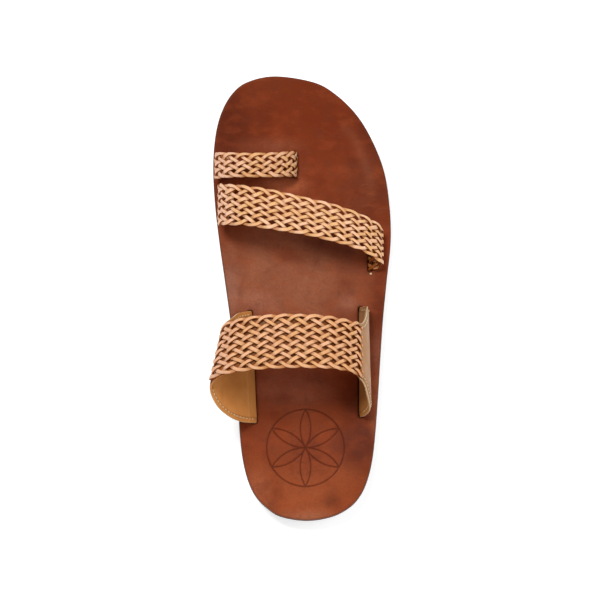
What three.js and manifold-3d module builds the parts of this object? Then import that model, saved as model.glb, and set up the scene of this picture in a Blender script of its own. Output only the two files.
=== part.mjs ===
// A flat leather sandal for the right foot: a rubber outsole, a leather insole with strap slots,
// a braided toe loop, a braided forefoot strap, and a lined instep strap with a braided top.
// Millimetres. +X is the outer (lateral) side of the foot, +Y the toe, +Z up, and the floor is Z = 0.

import * as THREE from "three";
import { mergeVertices } from "three/addons/utils/BufferGeometryUtils.js";
import Module from "manifold-3d";

const wasm = await Module();
wasm.setup();

// Driving dimensions
const FITTING_GAP = 0.3; // clearance between pieces that meet
const INSOLE_THICKNESS = 4;
const INSOLE_EDGE_ROUND = 0.8; // the insole's worn upper edge
const OUTSOLE_RIM = 0.6; // how far the outsole shows past the insole
const OUTSOLE_DRAFT = 2.2; // how far its side leans in from the top to the lower edge
const OUTSOLE_EDGE_TUCK = 1.4; // how far the tread is set in under that lower edge
const OUTSOLE_EDGE_RISE = 2.5; // height of the lower edge above the tread
const STRIP_WIDTH = 2.4; // one leather strip of the braids
const STRIP_THICKNESS = 1.1;
const LINING_THICKNESS = 1;
const FACING_THICKNESS = 1;
const SLOT_CLEARANCE = 1.25; // room around a strap in its slot
const STRAP_END = 1.2 - INSOLE_THICKNESS; // rise of a strap's end, hidden in its slot

// Sole outline seen from above, from the heel tip to the toe tip.
const SOLE_ROWS = [
  { along: -139.5, medial: 3, lateral: 3 },
  { along: -137, medial: -13, lateral: 18.6 },
  { along: -131.2, medial: -22.2, lateral: 29.5 },
  { along: -124, medial: -28.7, lateral: 35.9 },
  { along: -114.5, medial: -33.1, lateral: 40.2 },
  { along: -102, medial: -36.2, lateral: 43.2 },
  { along: -86, medial: -38.1, lateral: 45.1 },
  { along: -64, medial: -39.5, lateral: 46.8 },
  { along: -39, medial: -41.4, lateral: 48.4 },
  { along: -14, medial: -44.3, lateral: 50.2 },
  { along: 11, medial: -47.8, lateral: 52.7 },
  { along: 36, medial: -51.4, lateral: 55.3 },
  { along: 59, medial: -54.1, lateral: 54.7 },
  { along: 81, medial: -55.4, lateral: 51.3 },
  { along: 100, medial: -54.5, lateral: 43.9 },
  { along: 115.5, medial: -51, lateral: 34.4 },
  { along: 128, medial: -44.3, lateral: 21.6 },
  { along: 135.8, medial: -34.6, lateral: 7.4 },
  { along: 139.5, medial: -16.8, lateral: -16.8 },
];

// Side profile: height of the tread and of the footbed, level at the heel and under the ball.
const PROFILE_ROWS = [
  { along: -150, tread: 3, footbed: 18 },
  { along: -122, tread: 0, footbed: 18 },
  { along: -66, tread: 0, footbed: 18 },
  { along: -28, tread: 2.6, footbed: 16.6 },
  { along: 12, tread: 0, footbed: 13.6 },
  { along: 78, tread: 0, footbed: 13 },
  { along: 165, tread: 11, footbed: 23 },
];

// Straps from the medial slot over the foot to the lateral slot: the middle line's place across the
// sole and its rise over the footbed, its front and back edges along the sole, and how far across the
// sole the front edge lies from the back edge.
const TOE_LOOP_ROWS = [
  { x: -46.4, rise: STRAP_END, front: 90.6, back: 78, turn: 0 },
  { x: -46.6, rise: 0, front: 90.6, back: 78, turn: 0 },
  { x: -48.4, rise: 3.2, front: 90.8, back: 76.4, turn: 0 },
  { x: -52.4, rise: 6, front: 90.8, back: 74.6, turn: 0 },
  { x: -53.6, rise: 11, front: 90.2, back: 73.4, turn: 0 },
  { x: -49, rise: 16.6, front: 89, back: 72.8, turn: 0 },
  { x: -39.5, rise: 20.4, front: 88, back: 72.5, turn: 0 },
  { x: -28, rise: 21, front: 87.8, back: 72.4, turn: 0 },
  { x: -16.5, rise: 17.6, front: 88.8, back: 73.2, turn: 0 },
  { x: -8.2, rise: 11, front: 90.8, back: 74.6, turn: 0 },
  { x: -4.6, rise: 4.6, front: 92.4, back: 75.8, turn: 0 },
  { x: -4.2, rise: 0, front: 92.8, back: 76.4, turn: 0 },
  { x: -4.2, rise: STRAP_END, front: 92.8, back: 76.4, turn: 0 },
];
const FOREFOOT_ROWS = [
  { x: -42.8, rise: STRAP_END, front: 69.8, back: 47.6, turn: 0 },
  { x: -43, rise: 0, front: 69.8, back: 47.6, turn: 0 },
  { x: -45.2, rise: 3.6, front: 70.2, back: 46, turn: 0 },
  { x: -49.8, rise: 7.4, front: 70.2, back: 44.2, turn: 0 },
  { x: -51.4, rise: 14.5, front: 69.6, back: 43.2, turn: 0 },
  { x: -47.6, rise: 24.5, front: 67.6, back: 41.4, turn: 0 },
  { x: -34, rise: 33, front: 64.8, back: 39.4, turn: 0 },
  { x: -16, rise: 36.5, front: 61, back: 36, turn: 0 },
  { x: 4, rise: 35.5, front: 56.4, back: 32.8, turn: 0 },
  { x: 22, rise: 31, front: 52.8, back: 29, turn: 0 },
  { x: 36.6, rise: 24, front: 48.4, back: 25.4, turn: 0 },
  { x: 46.4, rise: 15.6, front: 44.6, back: 21, turn: 0 },
  { x: 49.8, rise: 8.6, front: 42, back: 18.6, turn: 0 },
  { x: 47.6, rise: 4.4, front: 41.6, back: 17.2, turn: 0 },
  { x: 44, rise: 2.4, front: 41.4, back: 16.6, turn: 0 },
  { x: 42.5, rise: 0, front: 41.4, back: 16.6, turn: 0 },
  { x: 42.4, rise: STRAP_END, front: 41.4, back: 16.6, turn: 0 },
];
const INSTEP_ROWS = [
  { x: -30.1, rise: STRAP_END, front: -8.8, back: -79.6, turn: -3.2 },
  { x: -30.1, rise: 0, front: -8.8, back: -79.6, turn: -3.2 },
  { x: -37.6, rise: 10.2, front: -11.8, back: -80, turn: -2.4 },
  { x: -43.4, rise: 20.4, front: -16.6, back: -78, turn: 1.8 },
  { x: -48.5, rise: 30, front: -20.4, back: -72.6, turn: 5.7 },
  { x: -50.6, rise: 39.5, front: -23.2, back: -63.8, turn: 9.1 },
  { x: -46.4, rise: 48.6, front: -23.2, back: -57.8, turn: 6 },
  { x: -32.6, rise: 55.4, front: -21.6, back: -55, turn: 2 },
  { x: -12, rise: 58.5, front: -20.2, back: -53.6, turn: 0 },
  { x: 12, rise: 56, front: -20.4, back: -53.4, turn: 0 },
  { x: 28, rise: 48.6, front: -22.4, back: -54.6, turn: 0 },
  { x: 36, rise: 38, front: -22.8, back: -58.6, turn: -0.6 },
  { x: 39.2, rise: 27, front: -16.8, back: -67.2, turn: -1.2 },
  { x: 40.3, rise: 16.4, front: -10, back: -73, turn: -1.6 },
  { x: 39.2, rise: 7, front: -7, back: -75.6, turn: 1.4 },
  { x: 36.2, rise: 0, front: -6.4, back: -75.8, turn: 0 },
  { x: 36, rise: STRAP_END, front: -6.4, back: -75.8, turn: 0 },
];

// Braids: strands, columns of crossings along the strap, and where the braid starts and ends,
// as distances along the strap from its two ends.
const TOE_BRAID = { strands: 5, columns: 14, startInset: 6, endInset: 6 };
const FOREFOOT_BRAID = { strands: 9, columns: 26, startInset: 6, endInset: 6 };
const INSTEP_BRAID = { strands: 11, columns: 22, startInset: 50.5, endInset: 48.8, width: 31.6 };

// Sampling
const STATIONS_PER_ROW = 3; // outline stations between two rows of a table
const ARC_SAMPLES = 600; // points that measure a strap's length
const BAND_STEP = 2.7; // length of one facet along a plain band
const SLOT_END_SEGMENTS = 3; // facets in each round end of a slot
const NORMAL_STEP = 0.02; // step of the difference that gives a strap's normal

const MATERIALS = {
  insole: new THREE.MeshStandardMaterial({ color: 0x8a4526, roughness: 0.45, metalness: 0 }),
  outsole: new THREE.MeshStandardMaterial({ color: 0x2b221e, roughness: 0.85, metalness: 0 }),
  braid: new THREE.MeshStandardMaterial({ color: 0xdcab80, roughness: 0.6, metalness: 0 }),
  lining: new THREE.MeshStandardMaterial({ color: 0xab7440, roughness: 0.65, metalness: 0 }),
  facing: new THREE.MeshStandardMaterial({ color: 0xc4995f, roughness: 0.6, metalness: 0 }),
};

// Catmull-Rom value between the second and third of four values.
function blendFour(before, from, to, after, part) {
  const linear = to - before;
  const square = 2 * before - 5 * from + 4 * to - after;
  const cube = 3 * (from - to) + after - before;
  return from + 0.5 * part * (linear + part * (square + part * cube));
}

// Value of a strap table's column at a fractional row.
function columnAt(rows, column, place) {
  const last = rows.length - 1;
  const row = Math.min(Math.floor(place), last - 1);
  const value = (i) => rows[THREE.MathUtils.clamp(i, 0, last)][column];
  return blendFour(value(row - 1), value(row), value(row + 1), value(row + 2), place - row);
}

// Value of the sole outline at a fractional row. The curve runs on round each tip to the other side.
function outlineAt(side, place) {
  const last = SOLE_ROWS.length - 1;
  const opposite = { medial: "lateral", lateral: "medial", along: "along" }[side];
  const row = Math.min(Math.floor(place), last - 1);
  const value = (i) => {
    if (i < 0) return SOLE_ROWS[-i][opposite];
    return i > last ? SOLE_ROWS[2 * last - i][opposite] : SOLE_ROWS[i][side];
  };
  return blendFour(value(row - 1), value(row), value(row + 1), value(row + 2), place - row);
}

// Height from the side profile. It eases in and out at each row, so equal rows give a level stretch.
function profileAt(column, along) {
  const next = PROFILE_ROWS.findIndex((row, i) => i > 0 && row.along >= along);
  const [from, to] = [PROFILE_ROWS[next - 1], PROFILE_ROWS[next]];
  const part = THREE.MathUtils.smoothstep(along, from.along, to.along);
  return THREE.MathUtils.lerp(from[column], to[column], part);
}

const footbedAt = (along) => profileAt("footbed", along);

// A closed solid from points and triangles.
function solidFrom(points, triangles) {
  const vertProperties = new Float32Array(points.flatMap((p) => [p.x, p.y, p.z]));
  return new wasm.Manifold(
    new wasm.Mesh({ numProp: 3, vertProperties, triVerts: new Uint32Array(triangles.flat()) }),
  );
}

function solidFromGeometry(geometry) {
  const bare = geometry.clone().deleteAttribute("normal").deleteAttribute("uv");
  const merged = mergeVertices(bare, 1e-4);
  return new wasm.Manifold(
    new wasm.Mesh({
      numProp: 3,
      vertProperties: merged.attributes.position.array,
      triVerts: new Uint32Array(merged.index.array),
    }),
  );
}

function meshFrom(name, solid, material) {
  const data = solid.getMesh();
  const geometry = new THREE.BufferGeometry();
  geometry.setAttribute("position", new THREE.BufferAttribute(data.vertProperties, 3));
  geometry.setIndex(new THREE.BufferAttribute(data.triVerts, 1));
  geometry.computeVertexNormals();
  const mesh = new THREE.Mesh(geometry, material);
  mesh.name = name;
  return mesh;
}

const quad = (a, b, c, d) => [
  [a, b, c],
  [a, c, d],
];

// Sole layers

const STATIONS = (SOLE_ROWS.length - 1) * STATIONS_PER_ROW;

// A point of the outline moved out by an offset, at one station of one side.
function outlinePoint(side, station, offset) {
  const place = station / STATIONS_PER_ROW;
  const step = 0.05;
  const [low, high] = [Math.max(place - step, 0), Math.min(place + step, SOLE_ROWS.length - 1)];
  const across = outlineAt(side, high) - outlineAt(side, low);
  const along = outlineAt("along", high) - outlineAt("along", low);
  const outward = new THREE.Vector2(along, -across).multiplyScalar(side === "medial" ? -1 : 1).normalize();
  if (station === 0) outward.set(0, -1);
  if (station === STATIONS) outward.set(0, 1);
  return new THREE.Vector2(outlineAt(side, place), outlineAt("along", place)).addScaledVector(outward, offset);
}

// One closed ring of a layer: up the medial side from the heel tip and down the lateral side.
function outlineRing({ offset, height }) {
  const ring = [];
  for (let i = 0; i <= STATIONS; i++) ring.push(outlinePoint("medial", i, offset));
  for (let i = STATIONS - 1; i > 0; i--) ring.push(outlinePoint("lateral", i, offset));
  return ring.map((p) => new THREE.Vector3(p.x, p.y, height(p.y)));
}

// A layer between its lowest and highest ring.
function layerSolid(rings) {
  const count = 2 * STATIONS;
  const points = rings.flatMap(outlineRing);
  const triangles = [];
  rings.slice(1).forEach((_, level) => {
    for (let i = 0; i < count; i++) {
      const [a, b] = [level * count + i, level * count + ((i + 1) % count)];
      triangles.push(...quad(a, a + count, b + count, b));
    }
  });
  const top = (rings.length - 1) * count;
  for (let i = 0; i < STATIONS; i++) {
    const [medial, medialNext] = [i, i + 1];
    const [lateral, lateralNext] = [(count - i) % count, count - i - 1];
    const atToe = i === STATIONS - 1;
    const cap = [[medial, medialNext, atToe ? lateral : lateralNext]];
    if (i > 0 && !atToe) cap.push([medial, lateralNext, lateral]);
    cap.forEach(([a, b, c]) => triangles.push([a, b, c], [top + a, top + c, top + b]));
  }
  return solidFrom(points, triangles);
}

function outsoleSolid() {
  const lowerEdge = OUTSOLE_RIM - OUTSOLE_DRAFT;
  return layerSolid([
    { offset: lowerEdge - OUTSOLE_EDGE_TUCK, height: (y) => profileAt("tread", y) },
    { offset: lowerEdge, height: (y) => profileAt("tread", y) + OUTSOLE_EDGE_RISE },
    { offset: OUTSOLE_RIM, height: (y) => footbedAt(y) - INSOLE_THICKNESS - FITTING_GAP },
  ]);
}

// A slot through the insole under one end row of a strap whose wall lies between two lifts.
function slotSolid(row, outward, [inner, outer]) {
  const halfWidth = (outer - inner) / 2 + SLOT_CLEARANCE;
  const length = Math.hypot(row.front - row.back, row.turn);
  const shape = new THREE.Shape();
  shape.absarc(0, length / 2, halfWidth, 0, Math.PI);
  shape.absarc(0, -length / 2, halfWidth, Math.PI, 2 * Math.PI);
  const depth = 3 * INSOLE_THICKNESS;
  const geometry = new THREE.ExtrudeGeometry(shape, {
    depth,
    bevelEnabled: false,
    curveSegments: SLOT_END_SEGMENTS,
  });
  const middle = (row.front + row.back) / 2;
  geometry.rotateZ(-Math.atan2(row.turn, row.front - row.back));
  geometry.translate(
    row.x + (outward * (inner + outer)) / 2,
    middle,
    footbedAt(middle) - depth / 2 - INSOLE_THICKNESS / 2,
  );
  return solidFromGeometry(geometry);
}

function insoleSolid(slots) {
  const blank = layerSolid([
    { offset: 0, height: (y) => footbedAt(y) - INSOLE_THICKNESS },
    { offset: 0, height: (y) => footbedAt(y) - INSOLE_EDGE_ROUND },
    { offset: -INSOLE_EDGE_ROUND, height: footbedAt },
  ]);
  return slots.reduce((solid, slot) => solid.subtract(slot), blank);
}

// Straps

// A strap's middle surface, measured in millimetres along it and from 0 at its front edge to 1 at
// its back edge. A lift moves a point off that surface, away from the foot.
function strapSurface(rows) {
  const last = rows.length - 1;
  const pointAt = (place, across) => {
    const [front, back] = [columnAt(rows, "front", place), columnAt(rows, "back", place)];
    const x = columnAt(rows, "x", place) + columnAt(rows, "turn", place) * (0.5 - across);
    const bed = THREE.MathUtils.lerp(footbedAt(front), footbedAt(back), across);
    const y = THREE.MathUtils.lerp(front, back, across);
    return new THREE.Vector3(x, y, bed + columnAt(rows, "rise", place));
  };
  const runs = [0];
  for (let i = 1; i <= ARC_SAMPLES; i++) {
    const [from, to] = [i - 1, i].map((n) => pointAt((n / ARC_SAMPLES) * last, 0.5));
    runs.push(runs[i - 1] + Math.hypot(to.x - from.x, to.z - from.z));
  }
  const length = runs[ARC_SAMPLES];
  const placeAt = (run) => {
    const next = Math.max(1, runs.findIndex((r, i) => r >= run || i === ARC_SAMPLES));
    return ((next - 1 + (run - runs[next - 1]) / (runs[next] - runs[next - 1])) / ARC_SAMPLES) * last;
  };
  const point = (run, across, lift) => {
    const place = placeAt(run);
    const along = pointAt(Math.min(place + NORMAL_STEP, last), across);
    along.sub(pointAt(Math.max(place - NORMAL_STEP, 0), across));
    const over = pointAt(place, 1).sub(pointAt(place, 0));
    const outward = over.cross(along).normalize();
    return pointAt(place, across).addScaledVector(outward, lift);
  };
  const widthAt = (run) => pointAt(placeAt(run), 0).distanceTo(pointAt(placeAt(run), 1));
  return { length, point, widthAt };
}

// Facet lines of a band: even steps from each stop to the next.
function bandRuns(stops) {
  const runs = [stops[0]];
  for (let i = 1; i < stops.length; i++) {
    const steps = Math.max(2, Math.round((stops[i] - stops[i - 1]) / BAND_STEP));
    for (let k = 1; k <= steps; k++) runs.push(THREE.MathUtils.lerp(stops[i - 1], stops[i], k / steps));
  }
  return runs;
}

// A plain band of a strap between two lifts, from its first stop to its last. The surface is straight
// across. Both faces are split along the same diagonals, so bands with the same stops lie evenly.
function bandSolid(surface, [inner, outer], stops) {
  const runs = bandRuns(stops);
  const points = [];
  const triangles = [];
  for (const run of runs) {
    points.push(surface.point(run, 0, inner), surface.point(run, 0, outer));
    points.push(surface.point(run, 1, outer), surface.point(run, 1, inner));
  }
  for (let i = 0; i < runs.length - 1; i++) {
    const [a, b, c, d] = [0, 1, 2, 3].map((corner) => 4 * i + corner);
    triangles.push(...quad(a, b, b + 4, a + 4), ...quad(b, c, c + 4, b + 4));
    triangles.push(...quad(c, d, d + 4, c + 4), ...quad(a, a + 4, d + 4, d));
  }
  const end = 4 * (runs.length - 1);
  triangles.push(...quad(3, 2, 1, 0), ...quad(end, end + 1, end + 2, end + 3));
  return solidFrom(points, triangles);
}

// Distance along the strap from one column of crossings to the next.
function braidPitch(surface, { columns, startInset, endInset }) {
  return (surface.length - startInset - endInset) / columns;
}

// A flat plait as one wall. Crossings lie on every other place of a grid of columns along the strap
// and half rows across it, and the places between are gaps. Each crossing is a raised diamond: the
// strip on top runs level over it and ramps down to the low level beside the next crossing.
function braidSolid(surface, braid, levels, gapsAreCut) {
  const { strands, columns, startInset, width } = braid;
  const pitch = braidPitch(surface, braid);
  const points = [];
  const triangles = [];
  const known = new Map();

  // Corner of a cell, in columns and half rows, at the inner, low or high level.
  const corner = (column, row, level) => {
    const key = [column, row, level].join();
    if (!known.has(key)) {
      const run = startInset + column * pitch;
      const whole = surface.widthAt(run);
      const braided = (width ?? whole) - STRIP_WIDTH;
      const outerRow = THREE.MathUtils.clamp(row, -0.3, strands + 0.3);
      const across = 0.5 + ((outerRow / strands - 0.5) * braided) / whole;
      known.set(key, points.push(surface.point(run, across, levels[level])) - 1);
    }
    return known.get(key);
  };
  const isPlace = (column, row) => column >= 0 && column <= columns && row >= 0 && row <= strands;
  const isCrossing = (column, row) => isPlace(column, row) && (column + row) % 2 === 0;
  const isFloored = (column, row) =>
    !gapsAreCut && column > 0 && column < columns && row > 0 && row < strands;
  const face = (corners, level) =>
    triangles.push(...quad(...corners.map(([column, row]) => corner(column, row, level))));
  const wall = ([c1, r1], [c2, r2], upper, lower) =>
    triangles.push(
      ...quad(corner(c1, r1, upper), corner(c1, r1, lower), corner(c2, r2, lower), corner(c2, r2, upper)),
    );

  // The stretch of a strip from the crossing that it covers to the next one, where it dives under.
  const strip = (column, row, stepColumn, stepRow) => {
    const turned = stepColumn * stepRow < 0;
    const add = (list) => list.forEach((t) => triangles.push(turned ? [t[0], t[2], t[1]] : t));
    const sides = [
      { near: [column + stepColumn / 2, row], far: [column + stepColumn, row + stepRow / 2] },
      { near: [column, row + stepRow / 2], far: [column + stepColumn / 2, row + stepRow] },
    ].map(({ near, far }) => ({
      high: corner(...near, "high"),
      low: corner(...near, "low"),
      inner: corner(...near, "inner"),
      farLow: corner(...far, "low"),
      farInner: corner(...far, "inner"),
    }));
    const [one, two] = sides;
    add(quad(one.high, two.high, two.farLow, one.farLow));
    add(quad(one.inner, one.farInner, two.farInner, two.inner));
    add([[one.farLow, one.low, one.high]]);
    add([[two.high, two.low, two.farLow]]);
    if (!isFloored(column + stepColumn, row)) add(quad(one.farLow, one.farInner, one.inner, one.low));
    if (!isFloored(column, row + stepRow)) add(quad(two.low, two.inner, two.farInner, two.farLow));
  };

  for (let column = 0; column <= columns; column++) {
    for (let row = 0; row <= strands; row++) {
      const [left, right] = [column - 0.5, column + 0.5].map((c) => [c, row]);
      const [front, back] = [row - 0.5, row + 0.5].map((r) => [column, r]);
      const crossing = isCrossing(column, row);
      if (crossing || isFloored(column, row)) {
        face([back, right, front, left], crossing ? "high" : "low");
        face([front, right, back, left], "inner");
      }
      if (!crossing) continue;
      const backwardOnTop = column % 2 === 0;
      const edges = [
        { ends: [front, left], step: [-1, -1], onTop: backwardOnTop },
        { ends: [right, front], step: [1, -1], onTop: !backwardOnTop },
        { ends: [back, right], step: [1, 1], onTop: backwardOnTop },
        { ends: [left, back], step: [-1, 1], onTop: !backwardOnTop },
      ];
      edges.forEach(({ ends, step, onTop }) => {
        const joined = isCrossing(column + step[0], row + step[1]);
        if (!joined || !onTop) wall(...ends, "high", "low");
        if (!joined) wall(...ends, "low", "inner");
        if (joined && onTop) strip(column, row, ...step);
      });
    }
  }
  return solidFrom(points, triangles);
}

// The sandal
const toeSurface = strapSurface(TOE_LOOP_ROWS);
const forefootSurface = strapSurface(FOREFOOT_ROWS);
const instepSurface = strapSurface(INSTEP_ROWS);

const FREE_BRAID_LEVELS = { inner: -STRIP_THICKNESS, low: 0, high: STRIP_THICKNESS };
const LINING_LIFTS = [-LINING_THICKNESS / 2, LINING_THICKNESS / 2];
const FACING_LIFTS = [LINING_LIFTS[1] + FITTING_GAP, LINING_LIFTS[1] + FITTING_GAP + FACING_THICKNESS];
const TAB_LIFTS = [-0.9 * STRIP_THICKNESS, -0.1 * STRIP_THICKNESS];

const backedBraidLevels = () => {
  const inner = FACING_LIFTS[0];
  return { inner, low: inner + STRIP_THICKNESS, high: inner + 2 * STRIP_THICKNESS };
};

function freeStrapSolid(surface, braid) {
  const braidEnd = surface.length - braid.endInset;
  const start = bandSolid(surface, TAB_LIFTS, [0, braid.startInset]);
  const end = bandSolid(surface, TAB_LIFTS, [braidEnd, surface.length]);
  return braidSolid(surface, braid, FREE_BRAID_LEVELS, true).add(start).add(end);
}

const freeWall = [-STRIP_THICKNESS, STRIP_THICKNESS];
const instepWall = [LINING_LIFTS[0], FACING_LIFTS[1]];
const slots = [
  [TOE_LOOP_ROWS, freeWall],
  [FOREFOOT_ROWS, freeWall],
  [INSTEP_ROWS, instepWall],
].flatMap(([rows, lifts]) => [slotSolid(rows[0], -1, lifts), slotSolid(rows.at(-1), 1, lifts)]);

// The facings stop just short of the braid's pointed ends.
const braidTip = braidPitch(instepSurface, INSTEP_BRAID) / 2 + FITTING_GAP;
const medialFacingEnd = INSTEP_BRAID.startInset - braidTip;
const lateralFacingStart = instepSurface.length - INSTEP_BRAID.endInset + braidTip;

const instepStops = [0, medialFacingEnd, lateralFacingStart, instepSurface.length];
const liningSolid = bandSolid(instepSurface, LINING_LIFTS, instepStops);
const medialFacing = bandSolid(instepSurface, FACING_LIFTS, instepStops.slice(0, 2));
const lateralFacing = bandSolid(instepSurface, FACING_LIFTS, instepStops.slice(2));

const pieces = [
  meshFrom("outsole", outsoleSolid(), MATERIALS.outsole),
  meshFrom("insole", insoleSolid(slots), MATERIALS.insole),
  meshFrom("toe_loop", freeStrapSolid(toeSurface, TOE_BRAID), MATERIALS.braid),
  meshFrom("forefoot_strap", freeStrapSolid(forefootSurface, FOREFOOT_BRAID), MATERIALS.braid),
  meshFrom("instep_lining", liningSolid, MATERIALS.lining),
  meshFrom("instep_facing_medial", medialFacing, MATERIALS.facing),
  meshFrom("instep_facing_lateral", lateralFacing, MATERIALS.facing),
  meshFrom(
    "instep_braid",
    braidSolid(instepSurface, INSTEP_BRAID, backedBraidLevels(), false),
    MATERIALS.braid,
  ),
];

// The origin is the middle of the sandal's box, on the floor.
const sandal = new THREE.Group().add(...pieces);
const box = new THREE.Box3().setFromObject(sandal);
const centre = box.getCenter(new THREE.Vector3());
sandal.children.forEach((piece) => piece.geometry.translate(-centre.x, -centre.y, -box.min.z));

export default sandal;
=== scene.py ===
"""A flat braided leather sandal for the right foot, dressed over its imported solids.

Sizes in the tables are millimetres: x across the sole (lateral is positive), y towards the toe, z up.
"""

import math
import random
from collections import namedtuple

import bpy
import numpy as np
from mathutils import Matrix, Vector
from mathutils.geometry import delaunay_2d_cdt


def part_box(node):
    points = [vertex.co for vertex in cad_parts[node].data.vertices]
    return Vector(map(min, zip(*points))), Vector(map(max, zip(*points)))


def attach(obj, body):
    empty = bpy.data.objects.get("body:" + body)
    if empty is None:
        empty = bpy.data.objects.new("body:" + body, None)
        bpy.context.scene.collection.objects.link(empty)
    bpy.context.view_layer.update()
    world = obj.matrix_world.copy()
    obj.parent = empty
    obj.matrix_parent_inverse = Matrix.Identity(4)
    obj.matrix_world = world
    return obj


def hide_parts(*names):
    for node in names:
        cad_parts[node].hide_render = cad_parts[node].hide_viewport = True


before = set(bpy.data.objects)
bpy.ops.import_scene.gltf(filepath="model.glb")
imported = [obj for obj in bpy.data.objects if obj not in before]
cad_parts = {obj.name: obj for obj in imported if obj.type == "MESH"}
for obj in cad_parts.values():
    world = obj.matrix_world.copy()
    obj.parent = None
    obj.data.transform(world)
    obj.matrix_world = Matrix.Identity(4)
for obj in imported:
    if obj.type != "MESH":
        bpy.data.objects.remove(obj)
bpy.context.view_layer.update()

MM = 0.001

# Sizes that the solids have too
INSOLE_THICKNESS = 4.0
FITTING_GAP = 0.3
OUTSOLE_DRAFT = 2.2  # how far the rubber's side leans in from the top to its lower edge
OUTSOLE_EDGE_TUCK = 1.4  # how far the tread is set in under that lower edge
OUTSOLE_EDGE_RISE = 2.5  # height of the lower edge above the tread
STRAP_END = 1.2 - INSOLE_THICKNESS  # rise of a strap's end, hidden in its slot
STRIP_WIDTH = 2.4
STRIP_THICKNESS = 1.1
LINING_THICKNESS = 1.0
FACING_THICKNESS = 1.0

# Sizes of the dressed sandal
OUTSOLE_RIM = 0.5  # how far the rubber lies outside the sole's outline
INSOLE_SPREAD = 0.3  # how far the footbed's edge does
RIM_ROUND = 0.25
SLOT_CLEARANCE = 0.4
SLOT_CORNER = 1.2
SLOT_WALL = 0.8  # half the thickness of a free strap where it enters its slot
INSTEP_BRAID_WIDTH = 33.6
END_GAP = 0.3  # how far the pieces of a strap stop short of its ends
SEAM_OVERLAP = 1.5  # how far the instep braid goes under the facings
FACING_SINK = 0.24  # how far the facings' undersides are pressed towards the lining
STITCH_INSET = 2.4  # from a wing's edge to its row of stitches
STITCH_SEAM = 0.8  # from the braid's seam to the first stitch
STITCH_SLOT = 5.0  # from the strap's end to the last one
STITCH_LENGTH = 2.0
STITCH_GAP = 1.0
STITCH_THICK = 0.3
STITCH_SINK = 0.25
KNOT_PLACE = (43.1, 14.8)
KNOT_RADIUS = 0.75

# Sole outline from the heel tip to the toe tip: along, medial, lateral
SOLE_ROWS = np.array([
    (-139.5, 3, 3),
    (-137, -13, 18.6),
    (-131.2, -22.2, 29.5),
    (-124, -28.7, 35.9),
    (-114.5, -33.1, 40.2),
    (-102, -36.2, 43.2),
    (-86, -38.1, 45.1),
    (-64, -39.5, 46.8),
    (-39, -41.4, 48.4),
    (-14, -44.3, 50.2),
    (11, -47.8, 52.7),
    (36, -51.4, 55.3),
    (59, -54.1, 54.7),
    (81, -55.4, 51.3),
    (100, -54.5, 43.9),
    (115.5, -51, 34.4),
    (128, -44.3, 21.6),
    (135.8, -34.6, 7.4),
    (139.5, -16.8, -16.8),
])

# Side profile: along, tread, footbed
PROFILE_ROWS = np.array([
    (-150, 3, 18),
    (-122, 0, 18),
    (-66, 0, 18),
    (-28, 2.6, 16.6),
    (12, 0, 13.6),
    (78, 0, 13),
    (165, 11, 23),
])

# Straps from the medial to the lateral slot: x, rise over the footbed, front edge, back edge, turn
TOE_LOOP_ROWS = np.array([
    (-46.4, STRAP_END, 90.6, 78, 0),
    (-46.6, 0, 90.6, 78, 0),
    (-48.4, 3.2, 90.8, 76.4, 0),
    (-52.4, 6, 90.8, 74.6, 0),
    (-53.6, 11, 90.2, 73.4, 0),
    (-49, 16.6, 89, 72.8, 0),
    (-39.5, 20.4, 88, 72.5, 0),
    (-28, 21, 87.8, 72.4, 0),
    (-16.5, 17.6, 88.8, 73.2, 0),
    (-8.2, 11, 90.8, 74.6, 0),
    (-4.6, 4.6, 92.4, 75.8, 0),
    (-4.2, 0, 92.8, 76.4, 0),
    (-4.2, STRAP_END, 92.8, 76.4, 0),
])
FOREFOOT_ROWS = np.array([
    (-42.8, STRAP_END, 69.8, 47.6, 0),
    (-43, 0, 69.8, 47.6, 0),
    (-45.2, 3.6, 70.2, 46, 0),
    (-49.8, 7.4, 70.2, 44.2, 0),
    (-51.4, 14.5, 69.6, 43.2, 0),
    (-47.6, 24.5, 67.6, 41.4, 0),
    (-34, 33, 64.8, 39.4, 0),
    (-16, 36.5, 61, 36, 0),
    (4, 35.5, 56.4, 32.8, 0),
    (22, 31, 52.8, 29, 0),
    (36.6, 24, 48.4, 25.4, 0),
    (46.4, 15.6, 44.6, 21, 0),
    (49.8, 8.6, 42, 18.6, 0),
    (47.6, 4.4, 41.6, 17.2, 0),
    (44, 2.4, 41.4, 16.6, 0),
    (42.5, 0, 41.4, 16.6, 0),
    (42.4, STRAP_END, 41.4, 16.6, 0),
])
INSTEP_ROWS = np.array([
    (-30.1, STRAP_END, -8.8, -79.6, -3.2),
    (-30.1, 0, -8.8, -79.6, -3.2),
    (-37.6, 10.2, -11.8, -80, -2.4),
    (-43.4, 20.4, -16.6, -78, 1.8),
    (-48.5, 30, -20.4, -72.6, 5.7),
    (-50.6, 39.5, -23.2, -63.8, 9.1),
    (-46.4, 48.6, -23.2, -57.8, 6),
    (-32.6, 55.4, -21.6, -55, 2),
    (-12, 58.5, -20.2, -53.6, 0),
    (12, 56, -20.4, -53.4, 0),
    (28, 48.6, -22.4, -54.6, 0),
    (36, 38, -22.8, -58.6, -0.6),
    (39.2, 27, -16.8, -67.2, -1.2),
    (40.3, 16.4, -10, -73, -1.6),
    (39.2, 7, -7, -75.6, 1.4),
    (36.2, 0, -6.4, -75.8, 0),
    (36, STRAP_END, -6.4, -75.8, 0),
])

Braid = namedtuple("Braid", "strands columns first_inset last_inset")

# Strips and columns of crossings, and how far the first and last column lie from the strap's ends
TOE_BRAID = Braid(7, 17, 6, 6)
FOREFOOT_BRAID = Braid(11, 30, 6, 6)
INSTEP_BRAID = Braid(13, 20, 50.5, 48.8)

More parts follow.
